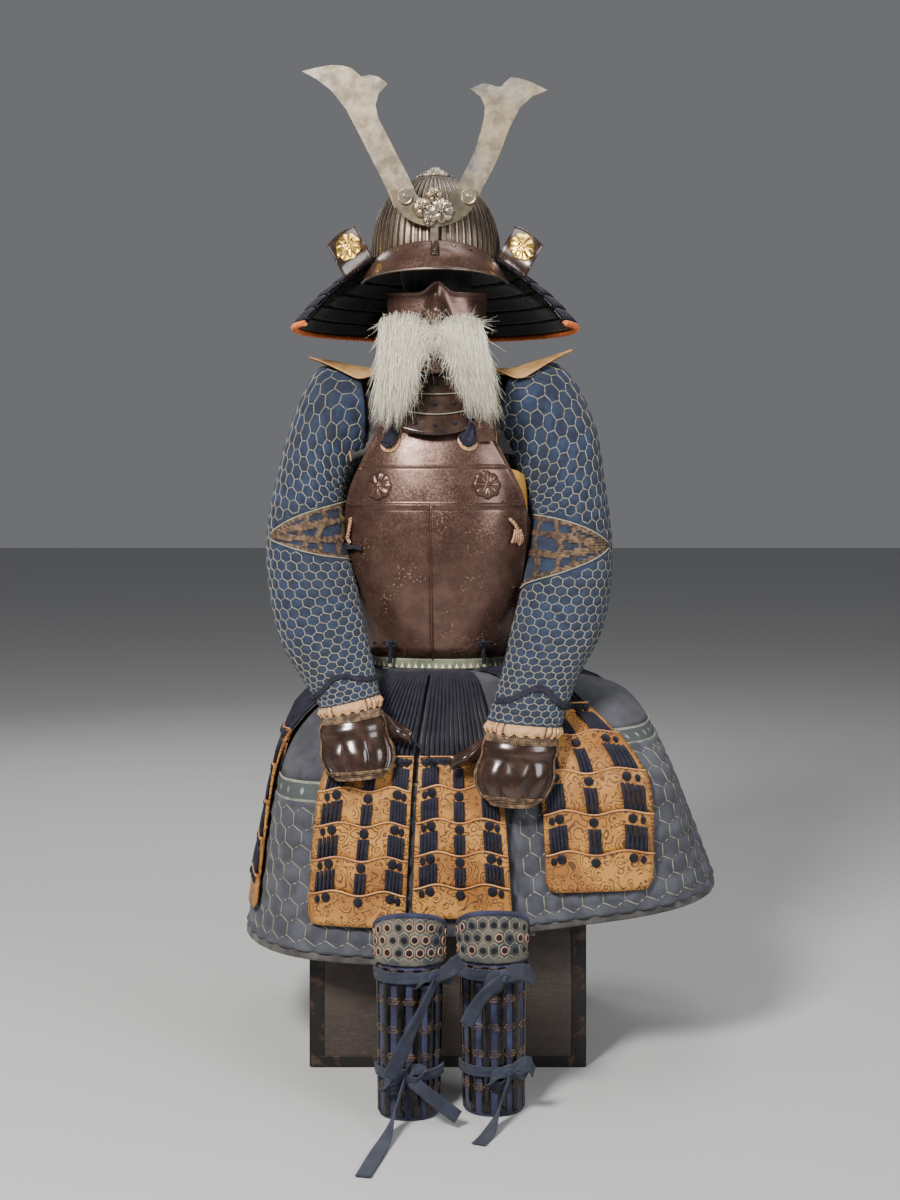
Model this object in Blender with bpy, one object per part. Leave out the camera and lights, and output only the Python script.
"""Samurai armour shown on its storage chest, with its shin guards standing in front.

Units are metres, +Z is up and the armour faces -Y. The origin is the centre of the
chest's underside. Left and right are the viewer's, looking along +Y. Angles around the
armour are 0 at the front and grow towards +X.
Every cloth or plate wall is a surface of two shares, u across and v down, given a
thickness along its normals, so layers that lie on each other share one surface.
"""

import math

import bpy
import numpy as np

SEAM = 0.0003  # gap left between pieces that touch
CLOTH = 0.002  # thickness of quilted cloth
PUFF = 0.002  # how far each quilted cell rises
IRON = 0.0025  # thickness of iron plate
LEATHER = 0.003  # thickness of lacquered leather lames

CHEST_WIDTH = 0.44
CHEST_DEPTH = 0.42
CHEST_HEIGHT = 0.455
LID_HEIGHT = 0.075
LID_RIM = 0.004

BAR_TOP = 1.1210
BAR_SIZE = (0.335, 0.02, 0.03)
POST_WIDTH = 0.045
HIP_HEIGHT = 0.016

BODY_X = -0.013  # the cuirass stands a little left of the chest's middle
BODY_YAW = math.radians(-6.0)  # and is turned a little to the viewer's left
BODY_LOW, BODY_HIGH = 0.640, 1.060
PLATE_EDGE = 66.0  # angle where the front plate meets the side plates
BACK_EDGE = 112.0
PLATE_LOW = 0.6435  # lower edge of the cuirass plates
BELT_TOP = 0.6431
BELT_HEIGHT = 0.017

HELMET_X = -0.021
BOWL_RIM_Z = 1.3167
BOWL_HEIGHT = 0.1486
BOWL_HALF_WIDTH = 0.1106
BOWL_HALF_DEPTH = 0.124
BOWL_RIBS = 62
BOWL_WALL = 0.003
BOWL_CROWN = 0.965  # share of the bowl's height where its top hole lies
CREST_FOOT = (HELMET_X, -0.1344, 1.333)
CREST_LEAN = 0.12
CREST_MIDDLE = -0.022  # x of the crest base's middle

FINISHES = {
    "chest_brown": ((0.10, 0.075, 0.06), 0.6, 0.0),
    "stand_black": ((0.02, 0.02, 0.02), 0.6, 0.0),
    "russet_iron": ((0.20, 0.115, 0.085), 0.38, 0.7),
    "dark_iron": ((0.10, 0.075, 0.055), 0.4, 0.8),
    "silver_gilt": ((0.72, 0.64, 0.52), 0.3, 0.9),
    "gold": ((0.80, 0.60, 0.25), 0.3, 1.0),
    "black_lacquer": ((0.02, 0.015, 0.015), 0.2, 0.0),
    "gilt_leather": ((0.68, 0.38, 0.12), 0.45, 0.1),
    "navy_cloth": ((0.03, 0.03, 0.06), 0.8, 0.0),
    "tie_cloth": ((0.09, 0.11, 0.16), 0.8, 0.0),
    "orange_silk": ((0.85, 0.20, 0.04), 0.7, 0.0),
    "indigo_quilt": ((0.05, 0.10, 0.20), 0.8, 0.0),
    "slate_quilt": ((0.12, 0.13, 0.17), 0.85, 0.0),
    "printed_leather": ((0.30, 0.33, 0.26), 0.7, 0.0),
    "pale_leather": ((0.75, 0.52, 0.34), 0.7, 0.0),
    "white_horsehair": ((0.85, 0.80, 0.68), 0.6, 0.0),
}


def clear_scene():
    for old in list(bpy.data.objects):
        bpy.data.objects.remove(old, do_unlink=True)


def finish(name):
    """The Principled material of one finish, made once."""
    found = bpy.data.materials.get(name)
    if found:
        return found
    colour, roughness, metallic = FINISHES[name]
    made = bpy.data.materials.new(name)
    made.use_nodes = True
    shader = made.node_tree.nodes["Principled BSDF"]
    shader.inputs["Base Color"].default_value = (*colour, 1.0)
    shader.inputs["Roughness"].default_value = roughness
    shader.inputs["Metallic"].default_value = metallic
    return made


def add_object(name, points, faces, finish_name):
    """Makes one closed mesh object, with its faces turned outwards and unused points dropped."""
    used = sorted({i for face in faces for i in face})
    place_of = {old: new for new, old in enumerate(used)}
    points = np.asarray(points, float)[used]
    faces = [[place_of[i] for i in face] for face in faces]
    middle = points.mean(axis=0)
    volume = sum(
        np.dot(points[f[0]] - middle, np.cross(points[f[k]] - middle, points[f[k + 1]] - middle))
        for f in faces
        for k in range(1, len(f) - 1)
    )
    if volume < 0:
        faces = [face[::-1] for face in faces]
    mesh = bpy.data.meshes.new(name)
    mesh.from_pydata(points.tolist(), [], faces)
    mesh.materials.append(finish(finish_name))
    mesh.shade_smooth()
    mesh.set_sharp_from_angle(angle=math.radians(40))
    made = bpy.data.objects.new(name, mesh)
    bpy.context.scene.collection.objects.link(made)
    return made


def smooth(table, column, at):
    """A column of a table, read at any share from 0 to 1 by a smooth curve through its rows."""
    values = np.array([row[column] for row in table], float)
    last = len(values) - 1
    place = np.clip(np.asarray(at, float), 0, 1) * last
    i = np.clip(np.floor(place).astype(int), 0, last - 1)
    t = place - i
    before, start = values[np.clip(i - 1, 0, last)], values[i]
    end, after = values[i + 1], values[np.clip(i + 2, 0, last)]
    slope_a = (end - before) / np.where(i == 0, 1, 2)
    slope_b = (after - start) / np.where(i == last - 1, 1, 2)
    return (
        (2 * t**3 - 3 * t**2 + 1) * start
        + (t**3 - 2 * t**2 + t) * slope_a
        + (3 * t**2 - 2 * t**3) * end
        + (t**3 - t**2) * slope_b
    )


def between(low, high, share):
    return low + (high - low) * share


def point(x, y, z):
    return np.stack(np.broadcast_arrays(x, y, z), axis=-1).astype(float)


def moved_out(surface, u, v, height):
    """Points of a surface, moved out along its normals by a height."""
    step = 1e-4
    run = surface(u + step, v) - surface(u - step, v)
    fall = surface(u, v + step) - surface(u, v - step)
    normal = np.cross(fall, run)
    normal /= np.maximum(np.linalg.norm(normal, axis=-1, keepdims=True), 1e-12)
    return surface(u, v) + normal * np.asarray(height)[..., None]


def layer(surface, height):
    """The same surface lying a height further out."""
    return lambda u, v: moved_out(surface, u, v, np.full(np.broadcast(u, v).shape, height))


def outline(angle, left, right, front, back, power):
    """x and y of a rounded outline seen from above."""
    s, c = np.sin(angle), np.cos(angle)
    across = np.where(s < 0, left, right)
    along = np.where(c > 0, front, back)
    reach = ((np.abs(s) / across) ** power + (np.abs(c) / along) ** power) ** (-1.0 / power)
    return reach * s, -reach * c


def back_blocks(rows, columns, wrap, block):
    """Index loops of a plain back in large blocks, which keep every point of the sheet's edge."""
    tall, wide = block
    last_row = rows - 1
    last_column = columns if wrap else columns - 1
    loops = []
    for top in range(0, last_row, tall):
        low = min(top + tall, last_row)
        for left in range(0, last_column, wide):
            right = min(left + wide, last_column)
            loop = [(top, c) for c in (range(left, right + 1) if top == 0 else (left, right))]
            loop += [(r, right) for r in range(top + 1, low) if not wrap and right == last_column]
            across = range(right, left - 1, -1) if low == last_row else (right, left)
            loop += [(low, c) for c in across]
            loop += [(r, left) for r in range(low - 1, top, -1) if not wrap and left == 0]
            loops.append([r * columns + c % columns for r, c in loop])
    return loops


def close_faces(front, rows, columns, wrap, block, behind):
    """The faces of a wall whose outer points come first and whose back points follow them."""
    faces = [list(f) for f in front]
    faces += [[behind + i for i in loop[::-1]] for loop in back_blocks(rows, columns, wrap, block)]
    last = (rows - 1) * columns
    for c in range(columns if wrap else columns - 1):
        a, b = c, (c + 1) % columns
        faces.append([b, a, behind + a, behind + b])
        faces.append([last + a, last + b, behind + last + b, behind + last + a])
    if not wrap:
        for r in range(rows - 1):
            a, b = r * columns, (r + 1) * columns
            faces.append([a, b, behind + b, behind + a])
            a, b = a + columns - 1, b + columns - 1
            faces.append([b, a, behind + a, behind + b])
    return faces


def sheet(name, surface, across, down, thick, finish_name, wrap=False, lift=None, block=(1, 1)):
    """A wall on a surface: outer points raised by lift over a plain back."""
    u, v = np.meshgrid(np.asarray(across, float), np.asarray(down, float))
    height = np.zeros_like(u) if lift is None else lift(u, v)
    depth = thick(u, v) if callable(thick) else np.full_like(u, thick)
    rows, columns = u.shape
    outer = moved_out(surface, u, v, height).reshape(-1, 3)
    inner = moved_out(surface, u, v, -depth).reshape(-1, 3)
    front = []
    for r in range(rows - 1):
        for c in range(columns if wrap else columns - 1):
            d = (c + 1) % columns
            front.append((r * columns + c, r * columns + d, (r + 1) * columns + d, (r + 1) * columns + c))
    faces = close_faces(front, rows, columns, wrap, block, rows * columns)
    return add_object(name, np.vstack([outer, inner]), faces, finish_name)


def quilt(name, surface, cells_across, down, hexed_from, thick, finish_name, wrap, block):
    """A wall quilted in pointed-top hexagons below one of its rings, each raised at its middle."""
    columns = 2 * cells_across + (0 if wrap else 1)
    rows = len(down)
    pitch = (down[-1] - down[hexed_from]) / (rows - 1 - hexed_from)
    u = np.tile(np.arange(columns) / (2.0 * cells_across), (rows, 1))
    v = np.repeat(np.array(down, float)[:, None], columns, axis=1)
    inner = moved_out(surface, u, v, np.full_like(u, -thick)).reshape(-1, 3)
    ring, column = np.indices(u.shape)
    zigzag = (ring > hexed_from) & (ring < rows - 1)
    v = v + np.where(zigzag, np.where((ring + column) % 2 == 0, -pitch / 6, pitch / 6), 0.0)
    outer = moved_out(surface, u, v, np.zeros_like(u)).reshape(-1, 3)
    front, middles = [], []
    for r in range(rows - 1):
        for c in range(columns if wrap else columns - 1):
            d = (c + 1) % columns
            corners = [r * columns + c, r * columns + d, (r + 1) * columns + d, (r + 1) * columns + c]
            if r < hexed_from:
                front.append(corners)
                continue
            if (c + r) % 2 == 0:
                if not wrap and c == 0:
                    front.append(corners)
                continue
            if not wrap and c == columns - 2:
                front.append(corners)
                continue
            e = (c + 2) % columns
            place = len(middles)
            middles.append(((c + 1) / (2.0 * cells_across), (down[r] + down[r + 1]) / 2))
            hexagon = [r * columns + k for k in (c, d, e)] + [(r + 1) * columns + k for k in (e, d, c)]
            for k in range(6):
                front.append((hexagon[k], hexagon[(k + 1) % 6], -1 - place))
    spots = np.array(middles)
    raised = moved_out(surface, spots[:, 0], spots[:, 1], np.full(len(spots), PUFF))
    base = rows * columns
    points = np.vstack([outer, inner, raised])
    faces = [[i if i >= 0 else 2 * base - 1 - i for i in f] for f in front]
    made = close_faces(faces, rows, columns, wrap, block, base)
    return add_object(name, points, made, finish_name)


def boss(name, place, reach, height, rings, spokes, finish_name):
    """A raised piece on a surface: place(x, y, height) turns local sizes into a point."""
    turn = np.arange(spokes) * 2 * np.pi / spokes
    r, a = np.meshgrid(np.arange(1, rings + 1) / rings, turn, indexing="ij")
    x, y = r * reach(a) * np.cos(a), r * reach(a) * np.sin(a)
    rise = height(r, a)
    middle = height(np.array([0.0]), np.array([0.0]))
    zero = np.zeros(1)
    points = np.vstack([
        place(x, y, rise + SEAM).reshape(-1, 3),
        place(x, y, np.full_like(rise, SEAM)).reshape(-1, 3),
        place(zero, zero, middle + SEAM),
        place(zero, zero, zero + SEAM),
    ])
    count = rings * spokes
    top, base = 2 * count, 2 * count + 1
    faces = []
    for s in range(spokes):
        n = (s + 1) % spokes
        faces.append([s, n, top])
        faces.append([count + n, count + s, base])
        for k in range(rings - 1):
            a0, a1, b0, b1 = k * spokes + s, k * spokes + n, (k + 1) * spokes + s, (k + 1) * spokes + n
            faces.append([a0, b0, b1, a1])
            faces.append([count + a1, count + b1, count + b0, count + a0])
        e = (rings - 1) * spokes
        faces.append([e + s, count + e + s, count + e + n, e + n])
    return add_object(name, points, faces, finish_name)


def plate(name, outline_points, thick, place, finish_name):
    """A flat plate of an outline, where place(a, b, depth) turns sizes into a point."""
    flat = np.asarray(outline_points, float)
    count = len(flat)
    front = place(flat[:, 0], flat[:, 1], np.zeros(count))
    back = place(flat[:, 0], flat[:, 1], np.full(count, thick))
    faces = [list(range(count)), list(range(2 * count - 1, count - 1, -1))]
    faces += [[(i + 1) % count, i, count + i, count + (i + 1) % count] for i in range(count)]
    return add_object(name, np.vstack([front, back]), faces, finish_name)


def box(name, low, high, finish_name):
    x, y, z = zip(low, high)
    points = [(x[i], y[j], z[k]) for k in (0, 1) for j in (0, 1) for i in (0, 1)]
    faces = [(0, 2, 3, 1), (4, 5, 7, 6), (0, 1, 5, 4), (2, 6, 7, 3), (0, 4, 6, 2), (1, 3, 7, 5)]
    return add_object(name, points, faces, finish_name)


def stack(name, rings, finish_name):
    """A solid through rings of points, one above another, closed at both ends."""
    count = len(rings[0])
    faces = [list(range(count)), list(range((len(rings) - 1) * count, len(rings) * count))[::-1]]
    for k in range(len(rings) - 1):
        for i in range(count):
            a, b = k * count + i, k * count + (i + 1) % count
            faces.append([b, a, a + count, b + count])
    return add_object(name, np.vstack(rings), faces, finish_name)


def ribbon(name, table, steps, finish_name, thick=0.0025):
    """A flat band through a table of x, y, z, width and the angle its width is turned by."""
    share = np.linspace(0, 1, steps)
    path = point(*(smooth(table, k, share) for k in range(3)))
    width, turn = smooth(table, 3, share), np.radians(smooth(table, 4, share))
    along = np.gradient(path, axis=0)
    along /= np.linalg.norm(along, axis=1, keepdims=True)
    steep = np.abs(along[:, 2:]) > 0.95
    upright = np.where(steep, np.array([[0.0, 1.0, 0.0]]), np.array([[0.0, 0.0, 1.0]]))
    side = np.cross(along, upright)
    side /= np.linalg.norm(side, axis=1, keepdims=True)
    other = np.cross(along, side)
    across = side * np.cos(turn)[:, None] + other * np.sin(turn)[:, None]
    out = np.cross(along, across)
    rings = [
        np.array([path[i] + across[i] * a * width[i] / 2 + out[i] * b * thick / 2
                  for a, b in ((-1, -1), (1, -1), (1, 1), (-1, 1))])
        for i in range(steps)
    ]
    for ring in rings:
        ring[:, 2] += max(0.0, SEAM - ring[:, 2].min())
    return stack(name, rings, finish_name)


def tube(name, table, radius, steps, sides, finish_name):
    """A round cord through a table of points, closed at both ends."""
    share = np.linspace(0, 1, steps)
    path = point(*(smooth(table, k, share) for k in range(3)))
    along = np.gradient(path, axis=0)
    along /= np.linalg.norm(along, axis=1, keepdims=True)
    side = np.cross(along, np.array([0.0, 0.0, 1.0]))
    side /= np.maximum(np.linalg.norm(side, axis=1, keepdims=True), 1e-9)
    other = np.cross(along, side)
    turn = np.arange(sides) * 2 * np.pi / sides
    rings = [
        path[i] + radius * (np.cos(turn)[:, None] * side[i] + np.sin(turn)[:, None] * other[i])
        for i in range(steps)
    ]
    return stack(name, rings, finish_name)


def fuse(main_piece, others):
    """Joins solids into the first one, and keeps the others only as guides."""
    for other in others:
        other.hide_render = True
        other.display_type = "WIRE"
        join = main_piece.modifiers.new("join_" + other.name, "BOOLEAN")
        join.operation = "UNION"
        join.solver = "EXACT"
        join.object = other
    return main_piece


# The cuirass: one surface, cut into front, side and back plates.

TORSO = (  # half width, front depth, back depth, from the waist up in equal steps
    (0.120, 0.114, 0.100),
    (0.140, 0.130, 0.110),
    (0.154, 0.140, 0.116),
    (0.162, 0.143, 0.120),
    (0.162, 0.137, 0.121),
    (0.150, 0.124, 0.116),
    (0.128, 0.106, 0.105),
)


def torso(angle, z):
    share = (z - BODY_LOW) / (BODY_HIGH - BODY_LOW)
    wide, front, back = (smooth(TORSO, k, share) for k in range(3))
    x, y = outline(angle, wide, wide, front, back, 2.5)
    c, s = math.cos(BODY_YAW), math.sin(BODY_YAW)
    return point(BODY_X + x * c - y * s, x * s + y * c, z)


def front_plate(u, v):
    z = np.interp(v, (-0.1, 0.0, 0.3, 0.6, 1.0, 1.1), (1.040, 1.020, 0.965, 0.896, PLATE_LOW, 0.60))
    z = z + 0.014 * (2 * u - 1) ** 2 * np.clip(1 - v / 0.3, 0, 1)
    half = np.interp(z, (0.64, 0.885, 0.92, 0.97, 1.034), (PLATE_EDGE, PLATE_EDGE, 61, 52, 42))
    return torso(np.radians(half * (2 * u - 1)), z)


def front_plate_lift(u, v):
    seam = np.where(np.abs(v - 0.31) < 0.012, 0.0015, 0.0)
    ridge = np.where(np.abs(v - 0.59) < 0.015, 0.002, 0.0)
    middle = np.where((np.abs(u - 0.5) < 0.006) & (v > 0.57) & (v < 0.99), 0.0025, 0.0)
    edge = np.where(((u < 0.02) | (u > 0.98) | (v < 0.01)) & (v < 0.99), 0.002, 0.0)
    return np.maximum.reduce([seam, ridge, middle, edge])


def back_plate(u, v):
    half = 180.0 - BACK_EDGE - 0.15
    z = between(1.050, PLATE_LOW, v)
    narrow = np.interp(z, (0.64, 0.87, 0.93, 1.05), (half, half, half - 10, half - 22))
    return torso(np.radians(180.0 + narrow * (2 * u - 1)), z)


def side_plate(start, end):
    def surface(u, v):
        top = 0.884 - 0.030 * np.sin(np.pi * np.clip(u, 0, 1))
        return torso(np.radians(between(start, end, u)), between(top, PLATE_LOW, v))
    return surface


def armhole_leather(u, v):
    """A leather guard inside the right armhole, showing past the front plate's edge."""
    low, high = 0.893, 0.968 - 0.018 * np.clip(u, 0, 1)
    return torso(np.radians(between(46.0, 74.0, u)), between(high, low, v))


def make_cuirass():
    across = (0, 0.03, 0.15, 0.27, 0.39, 0.488, 0.5, 0.512, 0.61, 0.73, 0.85, 0.97, 1)
    down = (0, 0.06, 0.285, 0.30, 0.32, 0.335, 0.565, 0.58, 0.60, 0.7, 0.8, 0.9, 0.985, 1)
    sheet("cuirass_front", front_plate, across, down, IRON, "russet_iron",
          lift=front_plate_lift, block=(2, 2))
    gap = 0.15
    sheet("cuirass_side_left", side_plate(-BACK_EDGE + gap, -PLATE_EDGE - gap),
          np.linspace(0, 1, 5), np.linspace(0, 1, 5), IRON, "russet_iron")
    sheet("cuirass_side_right", side_plate(PLATE_EDGE + gap, BACK_EDGE - gap),
          np.linspace(0, 1, 5), np.linspace(0, 1, 5), IRON, "russet_iron")
    sheet("cuirass_back", back_plate, np.linspace(0, 1, 9), np.linspace(0, 1, 7), IRON,
          "russet_iron", block=(2, 2))
    sheet("armhole_leather", layer(armhole_leather, -IRON - 0.0040), np.linspace(0, 1, 5),
          np.linspace(0, 1, 4), CLOTH, "gilt_leather")


def on_front_plate(angle_deg, z):
    """Turns local sizes into points of the front plate around one of its spots."""
    def place(x, y, height):
        reach = 0.15
        return moved_out(lambda a, b: torso(a, -b), math.radians(angle_deg) + x / reach,
                         -(z + y), height)
    return place


def petals(size, count):
    return lambda a: size * (0.88 + 0.12 * np.abs(np.cos(count * a / 2)))


def make_rosettes():
    """An eight-petal rosette of plain design on each side of the chest."""
    def height(r, a):
        dome = np.where(r < 0.2, 0.0055, 0.003 + 0.002 * np.abs(np.cos(4 * a)))
        return np.where(r > 0.95, 0.0015, dome)
    for side, angle, z in (("left", -36.0, 0.930), ("right", 37.0, 0.932)):
        boss("chest_rosette_" + side, on_front_plate(angle, z), petals(0.024, 8), height, 2, 16,
             "russet_iron")


STRAP_X = 0.078


def make_shoulder_straps():
    """Two straps from the back plate over the stand's bar to the front plate."""
    for side, sign in (("left", -1), ("right", 1)):
        x = BODY_X - 0.006 + sign * STRAP_X
        front = torso(np.radians(38.0 * sign + 2), np.array(1.004))
        back = torso(np.radians(180 - 40.0 * sign), np.array(1.050))
        over = BAR_TOP + SEAM + 0.0050
        table = (
            (front[0], front[1] - 0.0085, 1.004, 0.030, 0),
            (x, front[1] - 0.008, 1.050, 0.032, 0),
            (x, -0.060, 1.102, 0.036, 0),
            (x, 0.0, over, 0.038, 0),
            (x, 0.045, 1.110, 0.036, 0),
            (x, 0.082, 1.083, 0.034, 0),
            (back[0], back[1], 1.0532, 0.034, 0),
        )
        ribbon("shoulder_strap_" + side, table, 13, "russet_iron", thick=0.005)


def make_belt():
    """The printed leather band under the cuirass, from which the lacing hangs."""
    def surface(u, v):
        ring = torso(-np.pi + 2 * np.pi * u, BELT_TOP + 0 * u)
        return ring - point(0, 0, BELT_HEIGHT) * v[..., None]
    sheet("belt", surface, np.arange(22) / 22, (0, 1), LEATHER, "printed_leather", wrap=True)


# The skirt: one surface, with the thigh guards on it and the tassets just outside it.

SKIRT = (  # z, left, right, front and back reach, and the outline's power, going down
    (0.6257, 0.134, 0.108, 0.116, 0.100, 2.3),
    (0.6100, 0.170, 0.185, 0.140, 0.128, 2.4),
    (0.5880, 0.212, 0.290, 0.164, 0.160, 2.6),
    (0.5560, 0.248, 0.330, 0.190, 0.190, 3.0),
    (0.5120, 0.264, 0.350, 0.226, 0.222, 4.2),
    (0.4600, 0.276, 0.372, 0.247, 0.246, 6.0),
    (0.4000, 0.289, 0.396, 0.262, 0.254, 4.8),
    (0.3400, 0.303, 0.420, 0.274, 0.260, 3.8),
    (0.2800, 0.316, 0.444, 0.285, 0.266, 3.3),
    (0.2200, 0.330, 0.468, 0.295, 0.272, 3.0),
    (0.1600, 0.346, 0.492, 0.304, 0.278, 2.9),
)


def skirt(angle, t):
    z, left, right, front, back, power = (smooth(SKIRT, k, t) for k in range(6))
    x, y = outline(angle, left, right, front, back, power)
    waist = torso(angle, BELT_TOP + 0 * t)
    tight = np.clip(1 - t / 0.1, 0, 1) ** 2  # it starts at the belt and swings clear below it
    return point(between(x, waist[..., 0], tight), between(y, waist[..., 1], tight), z)


THIGH_GUARDS = (  # name, first and last angle, top, printed band and hem along the skirt
    ("left", -106.0, -11.0, 0.115, 0.50, 0.955, 0.945),
    ("right", 21.0, 104.0, 0.115, 0.37, 0.895, 0.800),
)


def thigh_guard(first, last, top, hem_front, hem_side):
    """One thigh guard's surface: its hem rises a little from the front to the side."""
    def surface(u, v):
        angle = np.radians(between(first, last, u))
        side = np.abs(angle) / np.pi
        hem = between(hem_front, hem_side, np.clip(side / 0.5, 0, 1))
        return skirt(angle, between(top, hem, v))
    return surface


def make_thigh_guards():
    for name, first, last, top, band, hem_front, hem_side in THIGH_GUARDS:
        surface = thigh_guard(first, last, top, hem_front, hem_side)
        tall = hem_front - top
        down = [(t - top) / tall for t in (top, 0.15, 0.22, 0.5 * (0.22 + band))]
        down += list(np.linspace((band - top) / tall, 1.0, 10))
        quilt("thigh_guard_" + name, surface, 10, down, 4, CLOTH, "slate_quilt", False, (2, 2))


TASSETS = (  # name, first and last angle, lean to one side, top and bottom of the lames, detail
    ("front_left", -39.5, -12.9, 0.0, 0.430, 0.858, 1),
    ("front_right", -11.0, 19.0, 0.0, 0.430, 0.835, 1),
    ("right", 33.0, 56.5, -4.5, 0.270, 0.772, 1),
    ("left", -90.0, -60.0, 0.0, 0.375, 0.865, 1),
    ("back_right", 112.0, 138.0, 0.0, 0.40, 0.85, 0),
    ("back", 163.0, 197.0, 0.0, 0.40, 0.85, 0),
    ("back_left", -140.0, -112.0, 0.0, 0.40, 0.85, 0),
)
LAMES = 5
LACES = ((0.055, 0.245), (0.435, 0.555), (0.755, 0.945))  # where the lacing runs down a tasset
TASSET_OUT = 0.0111  # how far the tassets lie outside the thigh guards


def tasset(first, last, lean, top, bottom):
    """One tasset with the lacing it hangs from: its lames' edges wave a little."""
    def surface(u, v):
        t = np.interp(v, (-0.1, 0.0, 0.25, 1.0, 1.1), (-0.04, 0.003, top, bottom, bottom + 0.05))
        wave = np.clip((v - 0.25) / 0.1, 0, 1) * np.clip((1 - v) / 0.1, 0, 1)
        t = t + 0.006 * wave * np.cos(4 * np.pi * u)
        angle = np.radians(between(first, last, u) + lean * np.clip(v, 0, 1))
        out = np.interp(v, (0.0, 0.06, 0.25), (0.0005, 0.0075, TASSET_OUT))
        return moved_out(skirt, angle, t, out)
    return surface


def tasset_lift(u, v):
    laced = np.zeros_like(u)
    for start, end in LACES:
        laced = np.where((u > start) & (u < end), 1.0, laced)
    s = (np.clip(v - 0.25, 0, 0.75) / 0.75 * LAMES) % 1.0
    lame = 0.0025 * (1 - s) + 0.0015 * laced
    cords = 0.0014 * laced * np.clip(v / 0.05, 0, 1)
    return np.where(v < 0.2505, cords, lame)


def make_tassets():
    for name, first, last, lean, top, bottom, detail in TASSETS:
        across = [0.0]
        for start, end in LACES:
            across += [start - 0.008, start + 0.008, end - 0.008, end + 0.008]
        across.append(1.0)
        if not detail:
            across = [0, 0.2, 0.4, 0.6, 0.8, 1.0]
        down = [0.0, 0.04, 0.08, 0.13, 0.19, 0.25] if detail else [0.0, 0.08, 0.16, 0.25]
        for k in range(LAMES):
            down += [0.25 + 0.75 * (k + s) / LAMES for s in (0.02, 0.999)]
        down[-1] = 1.0
        sheet("tasset_" + name, tasset(first, last, lean, top, bottom), across, down, LEATHER,
              "gilt_leather", lift=tasset_lift, block=(1, 7 if detail else 2))


# Sleeves: each is a tube through rings whose left and right ends are seen from the front.

SLEEVE_LEFT = (  # left x, left z, right x, right z, middle y, half depth, lead of the front
    (-0.165, 1.135, -0.158, 0.971, 0.000, 0.058, 0.022),
    (-0.224, 1.128, -0.168, 0.943, 0.000, 0.062, 0.012),
    (-0.269, 1.030, -0.179, 0.919, -0.010, 0.066, 0.004),
    (-0.297, 0.914, -0.1805, 0.872, -0.030, 0.066, 0.0),
    (-0.305, 0.830, -0.1800, 0.813, -0.050, 0.066, 0.0),
    (-0.297, 0.753, -0.163, 0.756, -0.090, 0.064, 0.0),
    (-0.272, 0.674, -0.148, 0.706, -0.130, 0.060, 0.0),
    (-0.235, 0.618, -0.130, 0.656, -0.170, 0.050, 0.0),
    (-0.202, 0.577, -0.112, 0.598, -0.222, 0.036, 0.0),
    (-0.199, 0.538, -0.100, 0.553, -0.240, 0.034, 0.0),
    (-0.192, 0.500, -0.090, 0.508, -0.252, 0.032, 0.0),
    (-0.180, 0.470, -0.096, 0.478, -0.262, 0.026, 0.0),
)
SLEEVE_RIGHT = (
    (0.107, 0.995, 0.126, 1.135, 0.000, 0.058, -0.025),
    (0.116, 0.968, 0.195, 1.135, 0.000, 0.062, -0.014),
    (0.138, 0.925, 0.249, 1.043, -0.010, 0.068, -0.004),
    (0.1560, 0.885, 0.268, 0.931, -0.030, 0.066, 0.0),
    (0.1565, 0.830, 0.276, 0.830, -0.050, 0.066, 0.0),
    (0.140, 0.756, 0.270, 0.753, -0.090, 0.064, 0.0),
    (0.118, 0.693, 0.248, 0.686, -0.137, 0.058, 0.0),
    (0.095, 0.628, 0.210, 0.625, -0.190, 0.046, 0.0),
    (0.066, 0.561, 0.177, 0.552, -0.2515, 0.036, 0.0),
    (0.056, 0.520, 0.167, 0.512, -0.264, 0.034, 0.0),
    (0.048, 0.475, 0.157, 0.468, -0.272, 0.032, 0.0),
    (0.062, 0.436, 0.138, 0.432, -0.278, 0.026, 0.0),
)
CUFF = 8.0 / 11.0  # share of the table where the sleeve ends and the hand begins


def arm(table):
    def surface(u, v):
        angle = -np.pi + 2 * np.pi * u
        lx, lz, rx, rz, y, deep, lead = (smooth(table, k, v) for k in range(7))
        s, c = np.sin(angle), np.cos(angle)
        return point((lx + rx) / 2 + (rx - lx) / 2 * s + lead * c,
                     y - deep * c, (lz + rz) / 2 + (rz - lz) / 2 * s)
    return surface


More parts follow.
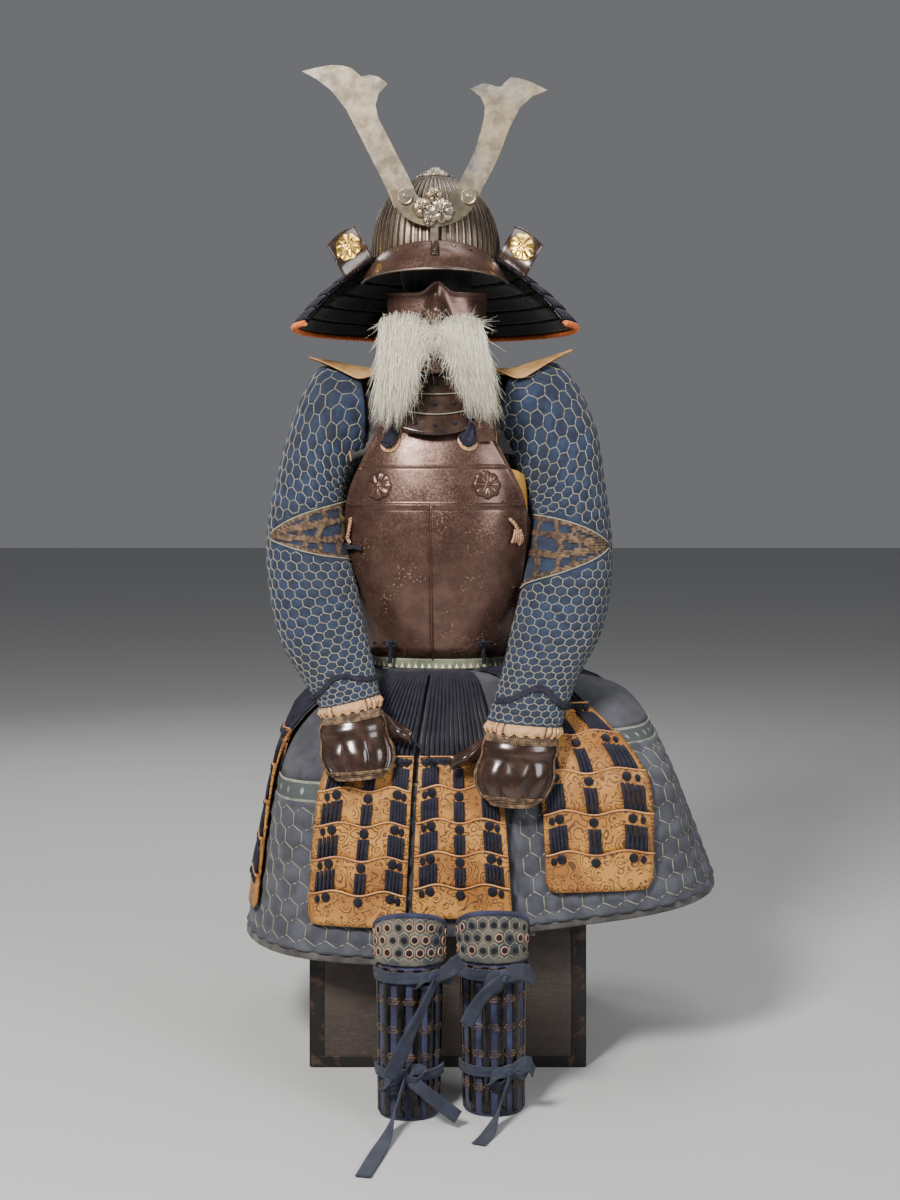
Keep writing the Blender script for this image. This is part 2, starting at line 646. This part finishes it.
def make_sleeves():
    for side, table in (("left", SLEEVE_LEFT), ("right", SLEEVE_RIGHT)):
        surface = arm(table)
        inner = 1 if side == "left" else -1
        quilt("sleeve_" + side, surface, 9, np.linspace(0, CUFF, 13), 0, CLOTH,
              "indigo_quilt", True, (2, 1))
        sheet("cuff_frill_" + side, surface, np.arange(16) / 16, (CUFF + 0.0008, CUFF + 0.03),
              CLOTH, "pale_leather", wrap=True,
              lift=lambda u, v: np.where(np.round(u * 16) % 2 == 0, 0.004, 0.0))

        def tie(u, v, surface=surface):
            peak = 0.03 * np.exp(-((u - 0.5) / 0.09) ** 2)
            out = np.full(np.broadcast(u, v).shape, 0.0052 if side == "left" else 0.0056)
            return moved_out(surface, u, CUFF - 0.045 + 0.012 * v - peak, out)
        sheet("wrist_tie_" + side, tie, np.arange(14) / 14, (0, 1), 0.002, "navy_cloth", wrap=True)

        def knuckles(u, v):
            ribs = 0.003 * np.cos((u - 0.5) * 2 * np.pi * 6.52) * np.clip((v - CUFF - 0.1) / 0.06, 0, 1)
            return np.maximum(ribs, -0.0005) + 0.001
        sheet("hand_plate_" + side, surface, np.linspace(0.27, 0.73, 13),
              np.linspace(CUFF + 0.0314, 1.0, 5), IRON, "dark_iron", lift=knuckles, block=(1, 2))

        edge = 0.741 if inner > 0 else 0.266
        tip = (-0.057, -0.262, 0.535) if inner > 0 else (0.003, -0.278, 0.497)

        def thumb(u, v, surface=surface, edge=edge, tip=tip, inner=inner):
            root = surface(np.full_like(u, edge), between(CUFF + 0.045, CUFF + 0.13, v))
            far = point(*tip) + point(0, 0, 0.010) * (1 - 2 * v)[..., None]
            across = u if inner > 0 else 1 - u
            bulge = 0.014 * np.sin(np.pi * np.clip(v, 0, 1)) * np.sin(np.pi * np.clip(across, 0, 1))
            return root + (far - root) * across[..., None] - point(0, bulge, 0)
        sheet("thumb_plate_" + side, thumb, np.linspace(0.0, 1, 5), np.linspace(0, 1, 5), IRON,
              "dark_iron")
    tube("hand_cord", ((-0.0556, -0.2630, 0.5338), (-0.035, -0.272, 0.512), (-0.012, -0.280, 0.498),
                       (0.0026, -0.2785, 0.4965)), 0.0015, 7, 6, "navy_cloth")


def make_shoulder_wings():
    """Small gilt leather wings that lie on the straps over the tops of the sleeves."""
    for side, sign, reach, over, tip in (("left", -1, 0.224, 1.1402, 1.153),
                                         ("right", 1, 0.228, 1.1435, 1.166)):
        def surface(u, v, sign=sign, reach=reach, over=over, tip=tip):
            share = u if sign > 0 else 1 - u
            x = BODY_X + sign * between(0.086, reach, share)
            rise = np.interp(share, (-0.1, 0, 0.3, 0.5, 1, 1.1),
                             (1.1312, 1.1312, 1.1350, over, tip, tip + 0.001))
            y = between(0.062, -0.062, v)
            return point(x, y, rise - 0.020 * (y / 0.062) ** 2 * np.clip(share * 2, 0, 1))
        sheet("shoulder_wing_" + side, surface, np.linspace(0, 1, 6), np.linspace(1, 0, 5), 0.002,
              "gilt_leather")


# The helmet and the mask.

def bowl_reach(share):
    return (1 - np.clip(share, 0, 1) ** 2.4) ** (1 / 1.9)


def bowl(u, v):
    angle = -np.pi + 2 * np.pi * u
    share = BOWL_CROWN * (1 - v)
    x, y = outline(angle, BOWL_HALF_WIDTH, BOWL_HALF_WIDTH, BOWL_HALF_DEPTH, BOWL_HALF_DEPTH, 2.0)
    return point(HELMET_X + x * bowl_reach(share), y * bowl_reach(share),
                 BOWL_RIM_Z + BOWL_HEIGHT * share)


BOWL_ROWS = (0, 0.22, 0.5, 1.0)


def make_bowl():
    columns = 2 * BOWL_RIBS
    sheet("helmet_bowl", bowl, np.arange(columns) / columns, BOWL_ROWS, BOWL_WALL,
          "dark_iron", wrap=True,
          lift=lambda u, v: np.where(np.round(u * columns) % 2 == 0, 0.002 * np.clip(v * 4, 0.2, 1), 0.0),
          block=(1, 4))

    def crown(x, y, height):
        return point(HELMET_X + x, y, BOWL_RIM_Z + BOWL_HEIGHT * BOWL_CROWN + SEAM + height)
    boss("crown_ornament", crown, petals(0.032, 8),
         lambda r, a: np.where(r < 0.3, 0.013, np.where(r < 0.7, 0.009, 0.003)), 2, 16, "silver_gilt")


VISOR_FIT = 1.034  # the visor's top edge lies this much outside the bowl


def visor(u, v):
    angle = np.radians(between(-66.0, 66.0, u))
    side = (2 * u - 1) ** 2
    share = np.clip((1.336 - 0.032 * side - BOWL_RIM_Z) / BOWL_HEIGHT, 0, 1)
    reach = bowl_reach(share)
    tx, ty = outline(angle, BOWL_HALF_WIDTH, BOWL_HALF_WIDTH, BOWL_HALF_DEPTH, BOWL_HALF_DEPTH, 2.0)
    top = point(tx * reach * VISOR_FIT + HELMET_X, ty * reach * VISOR_FIT, 1.336 - 0.032 * side)
    bx, by = outline(angle, 0.131, 0.131, 0.176, 0.176, 2.0)
    low = point(bx + HELMET_X, by, 1.283 - 0.010 * side)
    bulge = 0.006 * np.sin(np.pi * np.clip(v, 0, 1))
    return between(top, low, v[..., None]) + point(0, -bulge, bulge * 0.5)


def make_visor():
    sheet("visor", visor, np.linspace(0, 1, 15), (0, 0.3, 0.65, 0.93, 1), IRON, "russet_iron",
          lift=lambda u, v: np.where(v > 0.95, 0.002, 0.0), block=(2, 2))


NECK_ANGLE = 62.0
NECK_LAMES = 5


def neck_guard(u, v):
    angle = np.radians(between(NECK_ANGLE, 360 - NECK_ANGLE, u))
    curve = v + 0.10 * np.sin(np.pi * np.clip(v, 0, 1))
    wide, deep = between(0.1112, 0.240, curve), between(0.1246, 0.225, curve)
    x, y = outline(angle, wide, wide, deep, deep, 2.1)
    return point(HELMET_X + x, y, between(1.3146, 1.205, v))


def make_neck_guard():
    down = [0.0]
    for k in range(NECK_LAMES):
        down += [(k + 0.08) / NECK_LAMES, (k + 1) / NECK_LAMES]
    sheet("neck_guard", neck_guard, np.linspace(0, 1, 19), down, LEATHER, "black_lacquer",
          lift=lambda u, v: 0.0025 * ((v * NECK_LAMES + 0.93) % 1.0), block=(5, 3))
    sheet("neck_guard_edging", layer(neck_guard, 0.001), np.linspace(0.0, 1, 19), (1.005, 1.06),
          0.005, "orange_silk", lift=lambda u, v: np.where(np.round(u * 18) % 2 == 0, 0.001, 0.0))


TURN_BACK_OUT = 0.0034  # how far its root lies outside the neck guard


def turn_back(side):
    """A plate turned back and outwards from the front end of the neck guard's top lame."""
    sign = -1 if side == "left" else 1
    def surface(u, v):
        along = between(0.01, 0.34, u if sign > 0 else 1 - u)
        u_end = 1.0 if side == "left" else 0.0
        root = moved_out(neck_guard, np.full_like(u, u_end), along, np.full_like(u, TURN_BACK_OUT))
        rise = 1 - v
        dx = sign * 0.032 * rise
        dz = (0.062 - 0.006 * (2 * u - 1) ** 2) * rise
        dy = -0.012 * np.sin(np.pi * np.clip(rise, 0, 1)) + 0.022 * rise
        return root + point(dx, dy, dz)
    return surface


def make_turn_backs():
    for side in ("left", "right"):
        surface = turn_back(side)
        sheet("turn_back_" + side, surface, np.linspace(0, 1, 6), np.linspace(0, 1, 5), IRON,
              "russet_iron")

        def place(x, y, height, surface=surface):
            return moved_out(surface, 0.5 + x / 0.055, 0.42 - y / 0.065, height)
        boss("turn_back_rosette_" + side, place, petals(0.018, 8),
             lambda r, a: np.where(r < 0.4, 0.0045, np.where(r < 0.8, 0.003, 0.0012)), 2, 16, "gold")


def on_crest(offset=0.0):
    """Sizes in the leaning plane of the crest: x, height above the foot, depth to the back."""
    def place(x, z, depth):
        return point(x, CREST_FOOT[1] - z * CREST_LEAN + offset + depth, CREST_FOOT[2] + z)
    return place


HORN_LEFT = {  # x and z of the edges, seen from the front
    "outer": ((-0.088, 1.388), (-0.100, 1.418), (-0.121, 1.459), (-0.143, 1.502), (-0.174, 1.558),
              (-0.207, 1.589), (-0.238, 1.606)),
    "top": ((-0.238, 1.606), (-0.190, 1.616), (-0.157, 1.611), (-0.142, 1.598), (-0.129, 1.600),
            (-0.113, 1.597), (-0.098, 1.586)),
    "inner": ((-0.098, 1.586), (-0.116, 1.565), (-0.116, 1.538), (-0.100, 1.506), (-0.080, 1.467),
              (-0.060, 1.430), (-0.050, 1.402)),
}
HORN_RIGHT = {
    "outer": ((0.040, 1.386), (0.053, 1.412), (0.069, 1.441), (0.084, 1.471), (0.107, 1.530),
              (0.130, 1.561), (0.163, 1.576)),
    "top": ((0.163, 1.576), (0.130, 1.591), (0.102, 1.596), (0.088, 1.582), (0.076, 1.583),
            (0.058, 1.587), (0.037, 1.578)),
    "inner": ((0.037, 1.578), (0.058, 1.561), (0.060, 1.538), (0.054, 1.510), (0.040, 1.468),
              (0.017, 1.427), (0.008, 1.402)),
}


def make_crest():
    arc = np.linspace(0, np.pi, 17)
    outer = [(CREST_MIDDLE - 0.0715 * math.cos(a), 0.082 - 0.058 * math.sin(a)) for a in arc]
    inner = [(CREST_MIDDLE + 0.0330 * math.cos(a), 0.086 - 0.022 * math.sin(a)) for a in arc]
    tab = [(CREST_MIDDLE + x, z) for x, z in ((-0.0065, 0.024), (-0.0065, 0.001), (0.0065, 0.001),
                                              (0.0065, 0.024))]
    outer = outer[:8] + tab + outer[9:]
    plate("crest_base", outer + inner, 0.003, on_crest(), "silver_gilt")
    for side, edges in (("left", HORN_LEFT), ("right", HORN_RIGHT)):
        run = []
        for key, steps in (("outer", 9), ("top", 13), ("inner", 9)):
            share = np.linspace(0, 1, steps)[:-1]
            run += list(zip(smooth(edges[key], 0, share), smooth(edges[key], 1, share)))
        run.append(edges["inner"][-1])
        run = [(x, z - CREST_FOOT[2]) for x, z in run]
        plate("horn_" + side, run, 0.002, on_crest(0.003 + SEAM), "silver_gilt")

    def spray(x, y, height):
        return on_crest()(CREST_MIDDLE + x, 0.052 + y, 0) - point(0, height, 0)
    boss("crest_spray", spray, lambda a: 0.020 + 0.006 * np.cos(6 * a),
         lambda r, a: 0.003 + 0.005 * (1 - r) + 0.002 * np.abs(np.cos(3 * a)) * (r > 0.3),
         2, 18, "silver_gilt")


MASK_X = -0.018
MASK_EDGE = 76.0  # angle where the mask ends behind the cheeks
CHIN_Z = 1.117


def mask(u, v):
    """The half mask: from under the eyes to the chin, wrapping the cheeks."""
    angle = np.radians(between(-MASK_EDGE, MASK_EDGE, u))
    nose = np.exp(-((angle / 0.17) ** 2))
    top = 1.253 + 0.019 * nose + 0.012 * np.clip(np.abs(angle) / 1.5, 0, 1) ** 2
    z = between(top, CHIN_Z, v)
    share = np.clip((z - CHIN_Z) / 0.14, 0, 1)
    wide = between(0.046, 0.0875, np.sin(share * np.pi / 2) ** 0.8)
    deep = between(0.094, 0.100, share)
    x, y = outline(angle, wide, wide, deep, deep, 2.3)
    return point(MASK_X + x, y, z)


def mask_lift(u, v):
    angle = np.radians(between(-MASK_EDGE, MASK_EDGE, u))
    z = between(1.260, CHIN_Z, v)
    nose = 0.026 * np.exp(-((angle / 0.16) ** 2)) * np.exp(-(((z - 1.212) / 0.018) ** 2))
    bridge = 0.008 * np.exp(-((angle / 0.12) ** 2)) * np.exp(-(((z - 1.25) / 0.03) ** 2))
    cheek = 0.007 * np.exp(-(((np.abs(angle) - 0.75) / 0.3) ** 2)) * np.exp(-(((z - 1.215) / 0.022) ** 2))
    chin = 0.008 * np.exp(-((angle / 0.35) ** 2)) * np.exp(-(((z - 1.137) / 0.014) ** 2))
    return nose + bridge + cheek + chin


def throat(u, v):
    z = between(1.1167, 1.014 + 0.010 * (2 * u - 1) ** 2, v)
    half = between(0.046, 0.055, v)
    x = half * (2 * u - 1)
    return point(-0.021 + x, between(-0.0965, -0.1375, v) + 3.0 * x**2, z)


MOUSTACHE = (  # root x and z, tip x and z, across from the viewer's left
    (-0.110, 1.205, -0.108, 1.037),
    (-0.094, 1.213, -0.099, 1.030),
    (-0.076, 1.216, -0.088, 1.032),
    (-0.058, 1.212, -0.076, 1.038),
    (-0.040, 1.203, -0.058, 1.078),
    (-0.021, 1.188, -0.020, 1.158),
    (-0.004, 1.203, 0.018, 1.092),
    (0.012, 1.210, 0.038, 1.052),
    (0.028, 1.212, 0.052, 1.040),
    (0.042, 1.208, 0.066, 1.034),
    (0.056, 1.200, 0.079, 1.038),
)


def moustache(u, v):
    rx, rz, tx, tz = (smooth(MOUSTACHE, k, u) for k in range(4))
    sag = np.clip(v, 0, 1) ** 1.4
    lobe = np.abs(2 * u - 1)
    y = -0.1100 + 0.012 * lobe**2 - 0.037 * np.sin(np.pi * np.clip(v, 0, 1) * 0.62)
    return point(between(rx, tx, sag), y, between(rz, tz, v))


def make_face():
    sheet("face_mask", mask, np.linspace(0, 1, 17), np.linspace(0, 1, 9), IRON, "russet_iron",
          lift=mask_lift, block=(2, 2))
    down = [0.0, 0.03, 0.36, 0.39, 0.69, 0.72, 1.0]
    sheet("throat_guard", throat, np.linspace(0, 1, 9), down, LEATHER, "black_lacquer",
          lift=lambda u, v: 0.002 * ((v * 3 + 0.9) % 1.0), block=(2, 2))
    sheet("moustache", moustache, np.linspace(0, 1, 29), (0, 0.25, 0.6, 1.0),
          lambda u, v: 0.004 + 0.006 * np.sin(np.pi * (0.1 + 0.8 * v)), "white_horsehair",
          lift=lambda u, v: np.where(np.round(u * 28) % 2 == 0, 0.0025, 0.0), block=(1, 2))


# Small fittings of the cuirass.

def make_fittings():
    for side, angle, out_by in (("left", -31.0, 0.0022), ("right", 38.0, 0.0010)):
        spot = torso(math.radians(angle), np.array(0.662))
        out = np.array([math.sin(math.radians(angle - 6)), -math.cos(math.radians(angle - 6)), 0.0])
        base = np.array([float(c) for c in spot]) + out * (out_by + SEAM + 0.0045)
        table = [(*(base + np.array([0, 0, dz]) + out * o),) for dz, o in
                 ((0.012, 0.0), (0.002, 0.0015), (-0.010, 0.0015), (-0.026, 0.0035))]
        tube("waist_toggle_" + side, table, 0.0042, 5, 8, "navy_cloth")


# The chest and the stand inside the armour.

def make_chest():
    x, y, lid = CHEST_WIDTH / 2, CHEST_DEPTH / 2, CHEST_HEIGHT - LID_HEIGHT
    box("chest_body", (-x, -y, 0), (x, y, lid - SEAM), "chest_brown")
    rim = LID_RIM
    box("chest_lid", (-x - rim, -y - rim, lid), (x + rim, y + rim, CHEST_HEIGHT), "chest_brown")


def make_stand():
    """A plain wooden stand: foot, post, hip board, shoulder bar and head block."""
    foot_z = CHEST_HEIGHT + SEAM
    p = POST_WIDTH / 2
    post = box("stand", (BODY_X - p, -p, foot_z), (BODY_X + p, p, 1.20), "stand_black")
    foot = box("stand_foot_guide", (BODY_X - 0.09, -0.09, foot_z), (BODY_X + 0.09, 0.09, foot_z + 0.018),
               "stand_black")
    wide, deep, tall = BAR_SIZE
    bar = box("stand_bar_guide", (BODY_X - wide / 2, -deep / 2, BAR_TOP - tall),
              (BODY_X + wide / 2, deep / 2, BAR_TOP), "stand_black")
    turn = -np.pi + 2 * np.pi * np.arange(BOWL_RIBS // 2) / (BOWL_RIBS // 2)
    edge = moved_out(skirt, turn, np.full_like(turn, 0.15), np.full_like(turn, -CLOTH - 0.0022))
    hip = stack("stand_hip_guide", [edge - (0, 0, HIP_HEIGHT), edge], "stand_black")
    head_rows = ((1.130, 0.036, 0.070), (1.165, 0.050, 0.0928), (1.235, 0.050, 0.0928),
                 (1.300, 0.065, 0.080))
    rings = []
    for z, half_x, half_y in head_rows:
        x, y = outline(turn, half_x, half_x, half_y, half_y, 2.0)
        rings.append(point(MASK_X + x, y, np.full_like(x, z)))
    for v in (0.5, 0.22, 0.0):
        cap = moved_out(bowl, (turn + np.pi) / (2 * np.pi), np.full_like(turn, v),
                        np.full_like(turn, -BOWL_WALL - 2 * SEAM))
        rings.append(cap)
    head = stack("stand_head_guide", rings, "stand_black")
    fuse(post, (foot, hip, bar, head))


# The shin guards stand in front of the chest, each tied round twice.

SHIN_GUARDS = (  # name, middle x, y of the axis at the top and at the floor, height
    ("left", -0.0585, -0.335, -0.388, 0.288),
    ("right", 0.0680, -0.328, -0.372, 0.290),
)
SHIN_HALF = 0.049
SHIN_TALL = 0.29  # turns heights into shares of a guard
SHIN_ROUND = 0.125  # and widths round it into shares


def shin(middle, top_y, low_y, tall):
    def surface(u, v):
        angle = np.radians(between(-88.0, 88.0, u))
        wide = SHIN_HALF * between(1.05, 0.92, np.clip(v, 0, 1))
        x, y = outline(angle, wide, wide, 0.045, 0.045, 2.2)
        round_top = 0.030 * (np.abs(2 * u - 1) ** 2.5) * np.clip(1 - v / 0.25, 0, 1)
        return point(middle + x, between(top_y, low_y, v) + y, tall * (1 - v) - round_top + 0.0006 + SEAM)
    return surface


def shin_lift(u, v):
    knee = np.where(v < 0.255, 0.004, 0.0)
    splint = np.where(np.floor(u * 24 + 0.5) % 4 == 2, 0.0, 0.0018)
    return np.where(v < 0.26, knee, splint)


def make_shin_guards():
    across = np.linspace(0, 1, 25)
    down = (0, 0.08, 0.17, 0.255, 0.27, 1.0)
    for side, middle, top_y, low_y, tall in SHIN_GUARDS:
        surface = shin(middle, top_y, low_y, tall)
        sheet("shin_guard_" + side, surface, across, down, LEATHER, "black_lacquer",
              lift=shin_lift, block=(2, 4))
        for level, v, width in (("upper", 0.315, 0.016), ("lower", 0.785, 0.014)):
            make_tie(side, level, surface, v, width)


TIE_ENDS = {  # free ends of each tie: x, y, z, width, turn
    ("left", "upper"): (
        ((-0.020, -0.425, 0.200, 0.018, 70), (0.004, -0.430, 0.224, 0.024, 80),
         (0.020, -0.428, 0.235, 0.022, 80)),
        ((-0.022, -0.430, 0.188, 0.018, 80), (-0.052, -0.446, 0.140, 0.022, 85),
         (-0.086, -0.458, 0.072, 0.022, 85)),
    ),
    ("left", "lower"): (
        ((-0.062, -0.445, 0.062, 0.018, 80), (-0.080, -0.475, 0.024, 0.022, 60),
         (-0.092, -0.520, 0.004, 0.023, 20), (-0.104, -0.575, 0.002, 0.023, 0),
         (-0.116, -0.630, 0.002, 0.022, 0)),
        ((-0.058, -0.445, 0.064, 0.018, 80), (-0.020, -0.456, 0.040, 0.020, 75),
         (0.014, -0.460, 0.016, 0.020, 60)),
    ),
    ("right", "upper"): (
        ((0.084, -0.412, 0.196, 0.018, 80), (0.112, -0.418, 0.214, 0.024, 80),
         (0.128, -0.405, 0.196, 0.020, 80)),
        ((0.080, -0.415, 0.196, 0.018, 80), (0.050, -0.428, 0.180, 0.022, 85),
         (0.026, -0.436, 0.142, 0.022, 85)),
    ),
    ("right", "lower"): (
        ((0.090, -0.425, 0.060, 0.018, 80), (0.072, -0.455, 0.024, 0.020, 55),
         (0.056, -0.490, 0.003, 0.021, 10), (0.042, -0.522, 0.002, 0.021, 0)),
        ((0.094, -0.425, 0.066, 0.018, 80), (0.116, -0.428, 0.082, 0.022, 80),
         (0.126, -0.415, 0.066, 0.018, 80)),
    ),
}


def make_tie(side, level, surface, v, width):
    """A band round the shin guard with its knot and free ends, all one length of cloth."""
    half = width / SHIN_TALL / 2
    name = "shin_tie_" + side + "_" + level
    around = layer(surface, 0.0027 + CLOTH)
    band = sheet(name, around, np.linspace(0.0, 1.0, 13), (v - half, v + half), CLOTH, "tie_cloth")
    ends = TIE_ENDS[(side, level)]
    shares = np.linspace(0.1, 0.9, 161)
    spots = around(shares, np.full(161, v))
    u = shares[np.argmin(np.abs(spots[:, 0] - ends[0][0][0]))]

    def place(x, y, height):
        return moved_out(around, u + x / SHIN_ROUND, v - y / SHIN_TALL, height - 0.0012)
    middle_spot = place(np.zeros(1), np.zeros(1), np.full(1, 0.008))[0]
    pieces = [ribbon(name + "_end_%d_guide" % k, ((*middle_spot, *end[0][3:]),) + end[1:], 6,
                     "tie_cloth") for k, end in enumerate(ends)]
    knot = boss(name + "_knot_guide", place, lambda a: 0.012 + 0 * a,
                lambda r, a: 0.004 + 0.012 * np.sqrt(np.clip(1 - r * r * 0.9, 0, 1)), 2, 8, "tie_cloth")
    fuse(band, [knot] + pieces)


def main():
    clear_scene()
    make_chest()
    make_stand()
    make_cuirass()
    make_rosettes()
    make_shoulder_straps()
    make_belt()
    make_fittings()
    make_thigh_guards()
    make_tassets()
    make_sleeves()
    make_shoulder_wings()
    make_bowl()
    make_visor()
    make_neck_guard()
    make_turn_backs()
    make_crest()
    make_face()
    make_shin_guards()


main()
